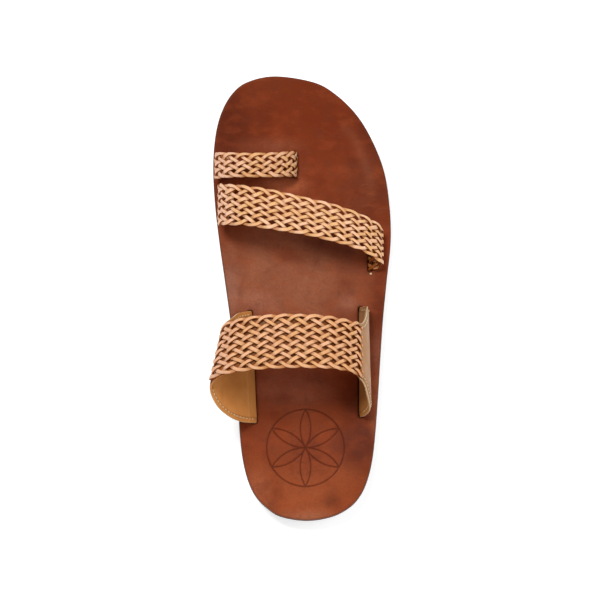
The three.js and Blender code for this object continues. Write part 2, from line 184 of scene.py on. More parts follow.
# How the strips of a plait lie
BRAID_TURN = 0.32  # roundness of a strip's turn at a border, in half rows
BORDER_PULL = 0.34  # how far the strips beside a border are drawn out to it, in half rows
BORDER_REACH = 0.55  # over how many half rows that fades
BORDER_INSET = 0.8  # from a border to the middle of the strips that turn there
BORDER_PRESS = 0.85  # share of what would stand past a border that is pressed in
CROSSING_SNAP = 3.4  # how suddenly a strip goes from over to under
STRIP_SWING = 0.54 * STRIP_THICKNESS  # how far it goes up and down there
END_COLUMNS = 2.2  # columns over which the ends dive or splay
RAGGED_LENGTH = 9.0  # how far from its slot a ragged end starts
STEPS_PER_COLUMN = 12

# How far the footbed's strips of painted shade lie ahead of the straps, for each millimetre of the straps'
# rise
COVER_LEAN = 0.158

# How brightly a white card lying on the footbed would show
LIGHT_LEVEL = 1.3

rng = random.Random(7)


def blend_four(before, start, end, after, part):
    """Catmull-Rom value between the second and third of four values."""
    linear = end - before
    square = 2 * before - 5 * start + 4 * end - after
    cube = 3 * (start - end) + after - before
    return start + 0.5 * part * (linear + part * (square + part * cube))


def columns_at(rows, places):
    """Values of all of a table's columns at fractional rows."""
    places = np.asarray(places, float)
    last = len(rows) - 1
    row = np.minimum(np.floor(places).astype(int), last - 1)
    part = (places - row)[:, None]
    pick = [rows[np.clip(row + step, 0, last)] for step in (-1, 0, 1, 2)]
    return blend_four(*pick, part)


def sole_line(steps_per_row):
    """Closed outline of the sole, from the heel tip up the medial side and down the lateral side."""
    medial = SOLE_ROWS[:, [1, 0]]
    lateral = SOLE_ROWS[:, [2, 0]]
    ring = np.vstack([medial, lateral[-2:0:-1]])
    count = len(ring)
    places = np.arange(count * steps_per_row) / steps_per_row
    row = np.floor(places).astype(int)
    part = (places - row)[:, None]
    pick = [ring[(row + step) % count] for step in (-1, 0, 1, 2)]
    return blend_four(*pick, part)


def even_loop(loop, spacing):
    """A closed loop of points at even distances."""
    closed = np.vstack([loop, loop[:1]])
    runs = np.concatenate([[0], np.cumsum(np.hypot(*np.diff(closed, axis=0).T))])
    count = max(8, round(runs[-1] / spacing))
    at = np.arange(count) * runs[-1] / count
    return np.column_stack([np.interp(at, runs, closed[:, i]) for i in range(2)])


def offset_loop(loop, distance):
    """A closed loop moved out, for one that runs clockwise seen from above."""
    along = np.roll(loop, -1, axis=0) - np.roll(loop, 1, axis=0)
    out = np.column_stack([-along[:, 1], along[:, 0]])
    out /= np.linalg.norm(out, axis=1)[:, None]
    return loop + out * distance


def profile_at(column, along):
    """Height from the side profile, level between equal rows."""
    along = np.asarray(along, float)
    row = np.clip(np.searchsorted(PROFILE_ROWS[:, 0], along), 1, len(PROFILE_ROWS) - 1)
    low, high = PROFILE_ROWS.T[:, row - 1], PROFILE_ROWS.T[:, row]
    part = (along - low[0]) / (high[0] - low[0])
    part = part * part * (3 - 2 * part)
    return low[column] + (high[column] - low[column]) * part


def tread_at(along):
    return profile_at(1, along)


def footbed_at(along):
    return profile_at(2, along)


SOLE_LINE = sole_line(24)
CUT_LINE = even_loop(SOLE_LINE, 1.4)
SHIFT_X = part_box("insole")[0].x / MM - CUT_LINE[:, 0].min()
OUTLINE = offset_loop(CUT_LINE, INSOLE_SPREAD)


class Strap:
    """A strap's middle surface: millimetres along it, and 0 at its front edge to 1 at its back edge."""

    def __init__(self, rows, samples=2400):
        x, rise, front, back, turn = columns_at(rows, np.linspace(0, len(rows) - 1, samples)).T
        self.front = np.column_stack([x + turn / 2, front, footbed_at(front) + rise])
        self.back = np.column_stack([x - turn / 2, back, footbed_at(back) + rise])
        middle = (self.front + self.back) / 2
        steps = np.hypot(np.diff(middle[:, 0]), np.diff(middle[:, 2]))
        self.runs = np.concatenate([[0], np.cumsum(steps)])
        self.length = self.runs[-1]
        self.front_slope = np.gradient(self.front, self.runs, axis=0)
        self.back_slope = np.gradient(self.back, self.runs, axis=0)

    def _at(self, table, run):
        return np.stack([np.interp(run, self.runs, table[:, i]) for i in range(3)], axis=-1)

    def width(self, run):
        return np.linalg.norm(self._at(self.back, run) - self._at(self.front, run), axis=-1)

    def point(self, run, across, lift):
        """Points lifted off the surface, away from the foot."""
        front, back = self._at(self.front, run), self._at(self.back, run)
        part = np.asarray(across)[..., None]
        over = back - front
        slope = self._at(self.front_slope, run) * (1 - part) + self._at(self.back_slope, run) * part
        out = np.cross(over, slope)
        out /= np.linalg.norm(out, axis=-1)[..., None]
        return front + over * part + out * np.asarray(lift)[..., None]


TOE_LOOP, FOREFOOT, INSTEP = Strap(TOE_LOOP_ROWS), Strap(FOREFOOT_ROWS), Strap(INSTEP_ROWS)


def add_object(name, data):
    """A new object in the scene."""
    thing = bpy.data.objects.new(name, data)
    bpy.context.scene.collection.objects.link(thing)
    return thing


def make_piece(name, points, faces, material, nodes, sharp, attributes=None):
    """A mesh piece from points in millimetres, riding on the sandal's one body."""
    points = np.asarray(points, float).reshape(-1, 3).copy()
    points[:, 0] += SHIFT_X
    mesh = bpy.data.meshes.new(name)
    mesh.from_pydata((points * MM).tolist(), [], [list(map(int, f)) for f in faces])
    mesh.polygons.foreach_set("use_smooth", [True] * len(mesh.polygons))
    mesh.set_sharp_from_angle(angle=math.radians(sharp))
    for key, values in (attributes or {}).items():
        layer = mesh.attributes.new(key, "FLOAT", "POINT")
        layer.data.foreach_set("value", np.asarray(values, float).ravel())
    mesh.materials.append(material)
    mesh.update()
    piece = add_object(name, mesh)
    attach(piece, "root")
    for node in nodes:
        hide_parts(node)


def tube_faces(rings, around, first=0, caps=True):
    """Faces of a closed tube whose rings follow one another."""
    i, j = np.meshgrid(np.arange(rings - 1), np.arange(around), indexing="ij")
    after = (j + 1) % around
    quads = np.stack(
        [i * around + j, i * around + after, (i + 1) * around + after, (i + 1) * around + j], axis=-1
    )
    faces = (quads.reshape(-1, 4) + first).tolist()
    if caps:
        faces.append([first + k for k in range(around)][::-1])
        faces.append([first + (rings - 1) * around + k for k in range(around)])
    return faces


# Materials


class Nodes:
    """Builds one material from nodes."""

    def __init__(self, name):
        self.material = bpy.data.materials.new(name)
        self.material.use_nodes = True
        self.tree = self.material.node_tree
        self.shader = self.tree.nodes["Principled BSDF"]
        self.place = self.add("ShaderNodeTexCoord").outputs["Object"]
        self.colour = (1, 1, 1, 1)

    def set(self, node, inputs):
        """Sets or links a node's inputs, apart from those given as None."""
        for key, value in inputs.items():
            if isinstance(value, bpy.types.NodeSocket):
                self.tree.links.new(value, node.inputs[key])
            elif value is not None:
                node.inputs[key].default_value = value

    def add(self, kind, inputs=None, **settings):
        node = self.tree.nodes.new(kind)
        for key, value in settings.items():
            setattr(node, key, value)
        self.set(node, inputs or {})
        return node

    def scaled(self, x, y, z, turn=0.0):
        """The object's place in metres, stretched and turned about the vertical."""
        inputs = {"Vector": self.place, "Rotation": (0, 0, turn), "Scale": (x, y, z)}
        return self.add("ShaderNodeMapping", inputs).outputs["Vector"]

    def noise(self, scale, detail, rough, warp=0.0, vector=None):
        place = self.place if vector is None else vector
        inputs = {"Vector": place, "Scale": scale, "Detail": detail, "Roughness": rough, "Distortion": warp}
        return self.add("ShaderNodeTexNoise", inputs).outputs["Fac"]

    def cells(self, scale):
        return self.add("ShaderNodeTexVoronoi", {"Vector": self.place, "Scale": scale}).outputs["Distance"]

    def spread(self, value, low, high, to_low=0.0, to_high=1.0):
        """A value taken smoothly from one range to another."""
        inputs = {"Value": value, "From Min": low, "From Max": high, "To Min": to_low, "To Max": to_high}
        return self.add("ShaderNodeMapRange", inputs, interpolation_type="SMOOTHSTEP").outputs["Result"]

    def vector(self, *parts):
        return self.add("ShaderNodeCombineXYZ", dict(enumerate(parts))).outputs[0]

    def axis(self, number):
        """One coordinate of the object's place in metres."""
        return self.add("ShaderNodeSeparateXYZ", {0: self.place}).outputs[number]

    def times(self, one, two):
        return self.add("ShaderNodeMath", {0: one, 1: two}, operation="MULTIPLY").outputs["Value"]

    def mix(self, factor, one, two):
        """A colour between two: inputs 6 and 7 and output 2 are the node's colour sockets."""
        return self.add("ShaderNodeMix", {"Factor": factor, 6: one, 7: two}, data_type="RGBA").outputs[2]

    def tint(self, factor, shade):
        """Lays a shade over the material's colour so far."""
        self.colour = self.mix(factor, self.colour, shade)

    def attribute(self, name):
        return self.add("ShaderNodeAttribute", attribute_name=name).outputs["Fac"]

    def bump(self, height, distance, strength, normal=None):
        inputs = {"Height": height, "Distance": distance, "Strength": strength, "Normal": normal}
        return self.add("ShaderNodeBump", inputs).outputs["Normal"]

    def patch(self, x, y, wide, long, turn=0.0):
        """A soft oval patch, 1 at its middle, placed in millimetres and given by its half sizes."""
        inputs = {
            "Vector": self.place,
            "Location": ((x + SHIFT_X) * MM, y * MM, 0.015),
            "Rotation": (0, 0, turn),
            "Scale": (wide * MM, long * MM, 1.0),
        }
        place = self.add("ShaderNodeMapping", inputs, vector_type="TEXTURE").outputs["Vector"]
        length = self.add("ShaderNodeVectorMath", {0: place}, operation="LENGTH").outputs["Value"]
        return self.spread(length, 0.0, 1.0, 1.0, 0.0)

    def finish(self, roughness, normal=None, specular=0.5, sheen=(1, 1, 1)):
        self.set(self.shader, {"Base Color": self.colour, "Roughness": roughness, "Normal": normal})
        self.set(self.shader, {"Specular IOR Level": specular, "Specular Tint": (*sheen, 1)})
        return self.material


def tone(red, green, blue):
    """A colour that shows with screen values of 0 to 255 under the scene's lights."""

    def linear(value):
        value /= 255
        return value / 12.92 if value <= 0.04045 else ((value + 0.055) / 1.055) ** 2.4

    return tuple(min(linear(value) / LIGHT_LEVEL, 0.92) for value in (red, green, blue)) + (1.0,)


# Patches of colour on the footbed, of dye and wear, painted light, painted shade and painted sheen: x, y,
# half width, half length, strength, shade, any turn
DYE_PATCHES = {
    # Painted sheen across the waist and ball
    "painted sheen on the waist": (-6, 12, 78, 60, 1.25, (152, 92, 66)),
    "worn heel": (0, -114, 62, 66, 1.25, (160, 80, 45)),
    "dark heel side": (37, -91, 23, 29, 1.15, (92, 40, 28)),
    "dark big toe side": (-48, 106, 36, 54, 1.1, (86, 29, 13)),
    "dark small toes": (40, 104, 20, 44, 0.9, (104, 40, 20)),
    "dark edge beside them": (44, 99, 7, 46, 0.9, (90, 33, 16), 0.46),
    "dull side of the ball": (40, 70, 22, 38, 0.9, (104, 50, 31)),
    "red edge at the slot": (53, 30, 7, 22, 0.7, (146, 58, 30)),
    # Painted light where the lateral wing's shadow falls
    "painted light beside the lateral wing": (46, -64, 7, 34, 1.2, (166, 94, 64)),
    "pale edge before it": (46, -33, 7, 22, 0.9, (158, 96, 74)),
    "dark edge of the ball": (51, 66, 8, 24, 0.6, (90, 33, 16)),
    "dark toe tip": (-18, 135, 24, 14, 0.6, (98, 37, 17)),
    "dark edge of the waist": (49, -8, 10, 26, 1.1, (92, 34, 17)),
    "spot behind the rosette": (19, -127, 10, 9, 0.9, (98, 46, 27)),
    "spot beside it": (28, -94, 17, 18, 0.8, (90, 41, 31)),
    "spot on its medial side": (-24, -90, 12, 16, 0.5, (104, 45, 33)),
    # Painted light in the instep strap's shadow
    "painted light under the instep": (-8, -58, 44, 20, 1.25, (172, 96, 70)),
    # Painted shade beside the lateral wing, under the instep strap
    "painted shade in the corner at the wing": (32, -66, 12, 16, 0.7, (70, 28, 20)),
    "rosette ground": (4, -96, 36, 36, 0.9, (116, 49, 30)),
    "pale medial heel": (-27, -122, 15, 20, 1.0, (182, 102, 68)),
    "pale heel end": (4, -141, 40, 11, 0.7, (178, 110, 80)),
    "pale medial waist": (-45, 5, 11, 34, 0.9, (154, 104, 84)),
    "pale front of the waist": (-28, -3, 20, 11, 0.9, (172, 112, 88)),
    # Painted light along the toe loop's front edge
    "painted light before the toe loop": (-20, 96, 30, 9, 0.6, (160, 92, 66)),
    # Painted light in the toe loop's shadow, between the straps
    "painted light between the straps": (-12, 71, 24, 9, 1.1, (188, 102, 66)),
    # Painted shadow of the forefoot strap
    "painted shadow behind the forefoot": (16, 33, 40, 9, 0.9, (82, 27, 13), -0.29),
    "dull spot there": (28, 18, 14, 9, 0.5, (118, 62, 42)),
    "red spot there": (-10, 27, 18, 9, 0.5, (160, 66, 32)),
    "pale before the instep": (28, -4, 13, 9, 0.6, (166, 106, 84)),
}


def insole_material():
    n = Nodes("insole_leather")
    cloud = n.noise(26, 3, 0.5, 0.6, n.scaled(1, 0.75, 1))
    blotch = n.noise(70, 4, 0.6, 0.4)
    fine = n.noise(900, 3, 0.6)
    streak = n.noise(1, 4, 0.6, 0.0, n.scaled(90, 700, 300, 0.35))
    mottle = n.noise(150, 5, 0.65, 0.5)
    island = n.noise(130, 3, 0.5, 0.0, n.scaled(0.7, 1.2, 1))

    # Dye, rubbed in unevenly, with patches of painted light, painted shade and painted sheen laid over it
    wash = n.times(n.spread(cloud, 0.3, 0.7, 0.6, 1.0), n.spread(mottle, 0.3, 0.7, 0.82, 1.14))
    n.colour = n.mix(n.spread(cloud, 0.34, 0.68), tone(114, 43, 18), tone(127, 52, 24))
    for x, y, wide, long, strength, shade, *turn in DYE_PATCHES.values():
        share = n.times(n.patch(x, y, wide, long, *turn), wash)
        n.tint(n.times(share, strength), tone(*shade))
    n.tint(n.spread(blotch, 0.45, 0.75, 0.0, 0.35), tone(98, 38, 22))
    n.tint(n.spread(mottle, 0.48, 0.72, 0.0, 0.34), tone(96, 50, 36))
    n.tint(n.spread(island, 0.45, 0.75, 0.0, 0.3), tone(156, 70, 36))
    n.tint(n.spread(fine, 0.35, 0.7, 0.0, 0.2), tone(84, 34, 22))

    # Creases, painted shade on the strips of footbed under the straps, fine streaks, the cut edge, painted
    # shade round the slots, and the rosette
    n.tint(n.times(n.attribute("scuff"), 0.22), tone(150, 86, 62))
    n.tint(n.times(n.attribute("under_strap_shade"), 0.6), tone(78, 28, 2))
    n.tint(n.spread(streak, 0.62, 0.8, 0.0, 0.14), tone(170, 108, 80))
    n.tint(n.times(n.attribute("edge"), 0.6), tone(112, 66, 50))
    n.tint(n.attribute("slot"), tone(48, 14, 8))
    n.tint(n.times(n.attribute("mark"), 0.8), tone(72, 26, 16))

    # Grain, soft unevenness and the fine wrinkles beside the small toes
    rough = n.spread(blotch, 0.3, 0.75, 0.40, 0.58)
    normal = n.bump(n.cells(1500), 0.00012, 0.25)
    normal = n.bump(n.noise(220, 4, 0.6), 0.0006, 0.25, normal)
    wrinkle = n.noise(1, 3, 0.6, 0.5, n.scaled(160, 620, 300, -0.15))
    normal = n.bump(n.times(wrinkle, n.patch(44, 74, 14, 34)), 0.0007, 0.5, normal)
    return n.finish(rough, normal, 0.14, (1.0, 0.45, 0.25))


def braid_material():
    n = Nodes("braid_leather")
    strand, along = n.attribute("tone"), n.attribute("along")
    fibre_place = n.vector(n.times(along, 0.05), n.times(n.attribute("side"), 1.6), n.times(strand, 37.0))
    fibre = n.noise(6, 4, 0.6, 0.0, fibre_place)
    blotch = n.noise(160, 3, 0.5)
    hue = n.noise(1, 2, 0.5, 0.0, n.vector(n.times(along, 0.12), n.times(strand, 61.0)))

    # Tan leather that differs from strip to strip and along each strip
    n.colour = n.mix(n.spread(hue, 0.38, 0.62), tone(242, 188, 132), tone(255, 206, 168))
    n.tint(n.times(strand, 0.45), tone(226, 166, 116))
    n.tint(n.spread(blotch, 0.42, 0.72, 0.0, 0.4), tone(216, 156, 108))
    n.tint(n.spread(fibre, 0.45, 0.75, 0.0, 0.35), tone(198, 132, 82))

    # Painted light at the straps' medial ends, deeper colour at the instep and the toe loop
    medial = n.spread(n.axis(0), -0.053, -0.034, 1.0, 0.0)
    n.tint(n.times(medial, 0.6), tone(252, 206, 180))
    instep = n.spread(n.axis(1), -0.012, -0.004, 1.0, 0.0)
    n.tint(n.times(instep, 0.3), tone(214, 148, 104))
    toe = n.spread(n.axis(1), 0.0705, 0.0725)
    n.tint(n.times(toe, 0.12), tone(160, 96, 56))

    # Painted shade where a strip's edges and undersides lie deep in the plait, weaker at the medial ends
    low = n.times(n.attribute("low"), n.spread(medial, 0.0, 1.0, 0.92, 0.66))
    n.tint(n.spread(low, 0.05, 0.65), tone(180, 102, 40))
    n.tint(n.spread(low, 0.5, 1.0), tone(120, 42, 0))
    rough = n.spread(fibre, 0.3, 0.7, 0.46, 0.62)
    normal = n.bump(fibre, 0.0002, 0.4)
    normal = n.bump(n.noise(2600, 2, 0.6), 0.00008, 0.35, normal)
    return n.finish(rough, normal, 0.22, (1.0, 0.65, 0.35))


def strap_material(name, light, dark, pale):
    """Smooth leather of the instep strap, with a pale cut edge."""
    n = Nodes(name)
    cloud = n.noise(60, 4, 0.55, 0.4)
    fine = n.noise(1400, 3, 0.6)
    n.colour = n.mix(n.spread(cloud, 0.35, 0.7), light, dark)
    n.tint(n.spread(fine, 0.4, 0.7, 0.0, 0.2), dark)

    # Two patches of painted shade on the lateral wing, then what the braid covers, painted in shade and
    # lighter at the medial end, the fold and the stitched groove
    n.tint(n.patch(40, -11, 16, 24), tone(150, 108, 74))
    n.tint(n.times(n.patch(38, -62, 16, 24), 0.5), tone(158, 104, 58))
    bare_in_shade = n.mix(n.spread(n.axis(0), -0.05, -0.03), tone(186, 108, 54), tone(122, 60, 20))
    n.tint(n.attribute("covered"), bare_in_shade)
    n.tint(n.times(n.attribute("crease"), 0.5), pale)
    n.tint(n.times(n.attribute("groove"), 0.55), tone(118, 66, 30))
    n.tint(n.times(n.attribute("edge"), 0.9), pale)
    normal = n.bump(n.cells(1800), 0.0001, 0.3)
    normal = n.bump(cloud, 0.0008, 0.25, normal)
    return n.finish(n.spread(cloud, 0.3, 0.7, 0.44, 0.58), normal, 0.3, (1.0, 0.7, 0.45))


def rubber_material():
    n = Nodes("outsole_rubber")
    cloud = n.noise(90, 4, 0.6)
    speck = n.noise(2200, 2, 0.6)
    n.colour = n.mix(n.spread(cloud, 0.35, 0.7), tone(40, 30, 27), tone(58, 44, 38))
    n.tint(n.spread(speck, 0.55, 0.75, 0.0, 0.4), tone(78, 64, 56))
    normal = n.bump(speck, 0.00015, 0.5)
    return n.finish(n.spread(cloud, 0.3, 0.7, 0.62, 0.8), normal, 0.35)


def thread_material():
    n = Nodes("thread")
    twist = n.noise(3000, 2, 0.5)
    n.colour = n.mix(n.spread(twist, 0.35, 0.7), tone(244, 218, 172), tone(216, 182, 132))
    return n.finish(n.spread(twist, 0.3, 0.7, 0.6, 0.8), n.bump(twist, 0.0001, 0.6), 0.3)


LINING_TONES = (tone(218, 146, 78), tone(202, 130, 66), tone(222, 164, 102))
FACING_TONES = (tone(192, 138, 86), tone(178, 124, 74), tone(250, 226, 190))

INSOLE_LEATHER = insole_material()
BRAID_LEATHER = braid_material()
LINING_LEATHER = strap_material("lining_leather", *LINING_TONES)
FACING_LEATHER = strap_material("facing_leather", *FACING_TONES)
RUBBER = rubber_material()
THREAD = thread_material()


# Sole


def slot_loop(row, outward, inner, outer, grow):
    """Outline of one slot, seen from above and clockwise, grown by a distance."""
    x, _, front, back, turn = row
    half = (outer - inner) / 2 + SLOT_CLEARANCE + grow
    reach = math.hypot(front - back, turn) / 2 + SLOT_CLEARANCE + grow
    corner = min(half, SLOT_CORNER + grow)
    ends = np.linspace(0, math.pi, 16)
    arc = np.column_stack([-np.cos(ends), np.sin(ends)])
    corners = np.column_stack([np.sign(arc[:, 0]) * (half - corner), np.full(len(arc), reach - corner)])
    top = arc * corner + corners
    across, along = even_loop(np.vstack([top, -top]), 0.6).T
    tilt = math.atan2(turn, front - back)
    turned_x = across * math.cos(tilt) + along * math.sin(tilt)
    turned_y = along * math.cos(tilt) - across * math.sin(tilt)
    return np.column_stack([turned_x, turned_y]) + [x + outward * (inner + outer) / 2, (front + back) / 2]


FREE_WALL = (-SLOT_WALL, SLOT_WALL)
FACING_INNER = LINING_THICKNESS / 2 + FITTING_GAP
FACING_OUTER = FACING_INNER + FACING_THICKNESS
INSTEP_WALL = (-LINING_THICKNESS / 2, FACING_OUTER)
SLOTS = [
    (rows[end], outward, *wall)
    for rows, wall in ((TOE_LOOP_ROWS, FREE_WALL), (FOREFOOT_ROWS, FREE_WALL), (INSTEP_ROWS, INSTEP_WALL))
    for end, outward in ((0, -1), (-1, 1))
]
# How dark the painted shade round each slot is, and how far from it it reaches
SLOT_SHADES = (0.3, 0.15, 0.5, 0.5, 0.6, 0.6)
SLOT_SHADE_WIDTH = 1.5


def nearest(points, loop):
    """Distance from each point to the nearest point of a loop."""
    best = np.full(len(points), np.inf)
    for chunk in np.array_split(loop, max(1, len(loop) // 64)):
        gap = points[:, None, :] - chunk[None, :, :]
        best = np.minimum(best, np.sqrt((gap**2).sum(axis=2)).min(axis=1))
    return best


def inside(points, loop):
    """Which points lie inside a closed loop."""
    x, y = points[:, 0], points[:, 1]
    result = np.zeros(len(points), bool)
    for (x1, y1), (x2, y2) in zip(loop, np.roll(loop, -1, axis=0)):
        crosses = (y1 > y) != (y2 > y)
        with np.errstate(divide="ignore", invalid="ignore"):
            at = (x2 - x1) * (y - y1) / (y2 - y1) + x1
        result ^= crosses & (x < at)
    return result


def hex_grid(low, high, spacing):
    """Points of a triangular grid over a box."""
    rows = np.arange(low[1], high[1], spacing * 0.866)
    grid = []
    for i, y in enumerate(rows):
        xs = np.arange(low[0] + (i % 2) * spacing / 2, high[0], spacing)
        grid.append(np.column_stack([xs, np.full(len(xs), y)]))
    return np.vstack(grid)


def fill_loops(loops, loose):
    """Flat points, the loops' own first, and the triangles between the first loop and its holes."""
    coords = np.vstack(loops + loose)
    edges, first = [], 0
    for loop in loops:
        edges += [(first + i, first + (i + 1) % len(loop)) for i in range(len(loop))]
        first += len(loop)
    corners = [Vector(point) for point in coords.tolist()]
    _, _, triangles, sources, _, _ = delaunay_2d_cdt(corners, edges, [], 1, 1e-5, True)
    origin = np.array([numbers[0] for numbers in sources])
    triangles = origin[np.array(triangles)]
    middle = coords[triangles].mean(axis=1)
    keep = inside(middle, loops[0])
    for hole in loops[1:]:
        keep &= ~inside(middle, hole)
    return coords, triangles[keep]


def open_edges(faces):
    """Edges that only one face has, in that face's direction."""
    edges = [(a, b) for face in faces for a, b in zip(face, face[1:] + face[:1])]
    known = set(edges)
    return [(a, b) for a, b in edges if (b, a) not in known]


def rounded(gap, radius):
    """How far a rounded edge lies below its face, at distances from the edge."""
    part = np.clip(radius - gap, 0, radius)
    return radius - np.sqrt(radius**2 - part**2)


# Hollows that a foot wears into the footbed: x, y, half width, half length, depth
HOLLOWS = [(3, -100, 24, 28, 0.7), (-2, 58, 34, 30, 0.5)]


def insole_relief(points):
    """Height that wear and making add to the footbed."""
    x, y = points.T
    relief = 0.10 * np.sin(x / 9 + 0.5) * np.sin(y / 13 + 1) + 0.06 * np.sin(x / 4.1 + y / 6.3)
    for middle_x, middle_y, wide, long, depth in HOLLOWS:
        relief -= depth * np.exp(-(((x - middle_x) / wide) ** 2) - ((y - middle_y) / long) ** 2)
    return relief


# Creases that the toes pressed in beside the lateral edge: half width, then points along each
CREASES = [
    (3.0, (25, 109), (29.5, 105), (33.4, 100), (37.5, 91), (41.3, 82.5), (43.4, 74), (44.2, 64)),
    (0.6, (39.8, 78.6), (42, 79.2), (45.4, 78.2)),
    (0.6, (37.4, 71), (40, 72), (43.6, 71)),
    (0.6, (40.8, 65.2), (43.6, 66), (47, 64.8)),
    (0.6, (38, 57.6), (41.6, 58.6), (46, 57.4)),
]
CREASE_RISE = 0.2
CREASE_BOX = np.array([(36.0, 55.0), (48.0, 82.0)])  # round the small ones


def creases(points):
    """How near each point lies to a crease, 1 on it."""
    near = np.zeros(len(points))
    for half, *line in CREASES:
        line = np.array(line, float)
        steps = np.linspace(0, len(line) - 1, 12 * len(line))
        along = columns_at(line, steps)
        fade = np.sin(np.linspace(0, math.pi, len(steps))) ** 0.5
        for (x, y), share in zip(along, fade):
            gap = np.hypot(points[:, 0] - x, points[:, 1] - y)
            near = np.maximum(near, share * np.exp(-((gap / half) ** 2)))
    return near


def strap_shade_share(points, strap):
    """How far each point lies in the strip of painted shade on the footbed that a strap covers, 0 outside
    it.
    """
    count, slot_room, fade = 120, 6, 3
    run = np.linspace(slot_room, strap.length - slot_room, count)
    edges = [strap.point(run, np.full(count, side), np.zeros(count)) for side in (0.0, 1.0)]
    for edge in edges:
        edge[:, 1] += (edge[:, 2] - footbed_at(edge[:, 1])) * COVER_LEAN
    front, back = (edge[:, :2] for edge in edges)
    loop = even_loop(np.vstack([front, back[::-1]]), 1.0)
    return np.clip(nearest(points, loop) / fade, 0, 1) * inside(points, loop)


ROSETTE_CENTRE = np.array([2.2, -95.0])
ROSETTE_RADIUS = 24.0
ROSETTE_LINE = 0.65
ROSETTE_DEPTH = 0.4


def rosette(points):
    """How deep each point lies in the pressed ornament: a ring with six petals drawn by compass."""
    place = points - ROSETTE_CENTRE
    radius = np.hypot(*place.T)
    line = np.abs(radius - ROSETTE_RADIUS)
    for step in range(6):
        turn = math.pi / 6 + step * math.pi / 3
        tip = ROSETTE_RADIUS * np.array([math.cos(turn), math.sin(turn)])
        arc = np.abs(np.hypot(*(place - tip).T) - ROSETTE_RADIUS)
        line = np.where(radius < ROSETTE_RADIUS, np.minimum(line, arc), line)
    part = np.clip(line / ROSETTE_LINE, 0, 1)
    return (1 - part**2) ** 2


# The footbed's mesh: spacing of its points, rings inside its edge and round its slots, rounded edges
GRID_SPACING = 1.5
FINE_SPACING = 0.5
EDGE_RINGS = (0.2, 0.5, 0.9, 1.5)
SLOT_RINGS = (0.0, 0.2, 0.6, 1.2)
EDGE_ROUND = 0.9
SLOT_ROUND = 0.6


def insole_grid(border, slot_borders):
    """Points inside the footbed, closer together in the ornament and at the small creases."""
    grid = hex_grid(OUTLINE.min(axis=0), OUTLINE.max(axis=0), GRID_SPACING)
    around_mark = ROSETTE_RADIUS + 2
    grid = grid[np.hypot(*(grid - ROSETTE_CENTRE).T) > around_mark + 0.6]
    fine = hex_grid(ROSETTE_CENTRE - around_mark, ROSETTE_CENTRE + around_mark, FINE_SPACING)
    fine = fine[np.hypot(*(fine - ROSETTE_CENTRE).T) < around_mark]
    low, high = CREASE_BOX
    grid = grid[~np.all((grid > low - 0.4) & (grid < high + 0.4), axis=1)]
    grid = np.vstack([grid, fine, hex_grid(low, high, FINE_SPACING)])
    grid = grid[inside(grid, border)]
    grid = grid[nearest(grid, border) > 0.9]
    for loop in slot_borders:
        grid = grid[~inside(grid, loop)]
        grid = grid[nearest(grid, loop) > 0.7]
    return grid


def insole_piece():
    """The leather footbed with its slots, worn hollows, creases and pressed ornament."""
    rings = [OUTLINE] + [offset_loop(OUTLINE, -inset) for inset in EDGE_RINGS]
    slot_rings = [[slot_loop(*slot, grow) for grow in SLOT_RINGS] for slot in SLOTS]
    grid = insole_grid(rings[-1], [loops[-1] for loops in slot_rings])
    loose = rings[1:] + [loop for loops in slot_rings for loop in loops[1:]] + [grid]
    flat, triangles = fill_loops([rings[0]] + [loops[0] for loops in slot_rings], loose)
    count = len(flat)

    to_edge = nearest(flat, even_loop(OUTLINE, 0.35))
    to_slot = np.full(count, np.inf)
    # Painted shade round the slots
    slot = np.zeros(count)
    for loops, dark in zip(slot_rings, SLOT_SHADES):
        gap = nearest(flat, even_loop(loops[0], 0.25))
        to_slot = np.minimum(to_slot, gap)
        slot = np.maximum(slot, dark * np.clip(1 - gap / SLOT_SHADE_WIDTH, 0, 1))
    mark = rosette(flat)
    scuff = creases(flat)
    # Painted shade on the footbed under the toe loop and the forefoot strap
    under_strap_shade = np.maximum(strap_shade_share(flat, TOE_LOOP), strap_shade_share(flat, FOREFOOT))

    bed = footbed_at(flat[:, 1])
    relief = insole_relief(flat) * np.clip(to_edge / 6, 0, 1) - ROSETTE_DEPTH * mark + CREASE_RISE * scuff
    top = bed + relief - rounded(to_edge, EDGE_ROUND) - rounded(to_slot, SLOT_ROUND)
    points = [np.column_stack([flat, level]) for level in (top, bed - INSOLE_THICKNESS)]
    faces = triangles.tolist()
    walls = [(b, a, a + count, b + count) for a, b in open_edges(faces)]
    under = [[i + count for i in reversed(face)] for face in faces]
    plain = np.zeros(count)
    attributes = {
        "edge": [np.clip(1 - to_edge / 1.1, 0, 1), plain + 1],
        "slot": [slot, slot],
        "mark": [mark, plain],
        "scuff": [scuff, plain],
        "under_strap_shade": [under_strap_shade, plain],
    }
    make_piece(
        "insole_leather_bed", points, faces + walls + under, INSOLE_LEATHER,
        ["insole"], 50, attributes,
    )


def sole_top(along):
    """Height of the rubber under the footbed."""
    return footbed_at(along) - INSOLE_THICKNESS - FITTING_GAP


def side_at(part, along):
    """Height on the rubber's side, from its lower edge (0) to its top (1)."""
    return (tread_at(along) + OUTSOLE_EDGE_RISE) * (1 - part) + sole_top(along) * part


# Wavy ribs of the tread, and the stretches of the sole that have them
RIB_PITCH = 6.5
RIB_DEPTH = 0.9
RIB_SWAY = 2.2
RIB_BORDER = 3.0
RIBBED = [(8, 112), (-130, -58)]


def tread_height(flat, border):
    """Height of the tread: shallow wavy ribs under heel and ball."""
    x, y = flat.T
    wave = np.sin((y + RIB_SWAY * np.sin(x / 4.2)) * 2 * math.pi / RIB_PITCH)
    groove = np.clip((wave - 0.25) / 0.5, 0, 1) * RIB_DEPTH
    zone = sum(np.clip((y - low) / 3, 0, 1) * np.clip((high - y) / 3, 0, 1) for low, high in RIBBED)
    return tread_at(y) + groove * zone * np.clip((nearest(flat, border) - RIB_BORDER) / 1.2, 0, 1)


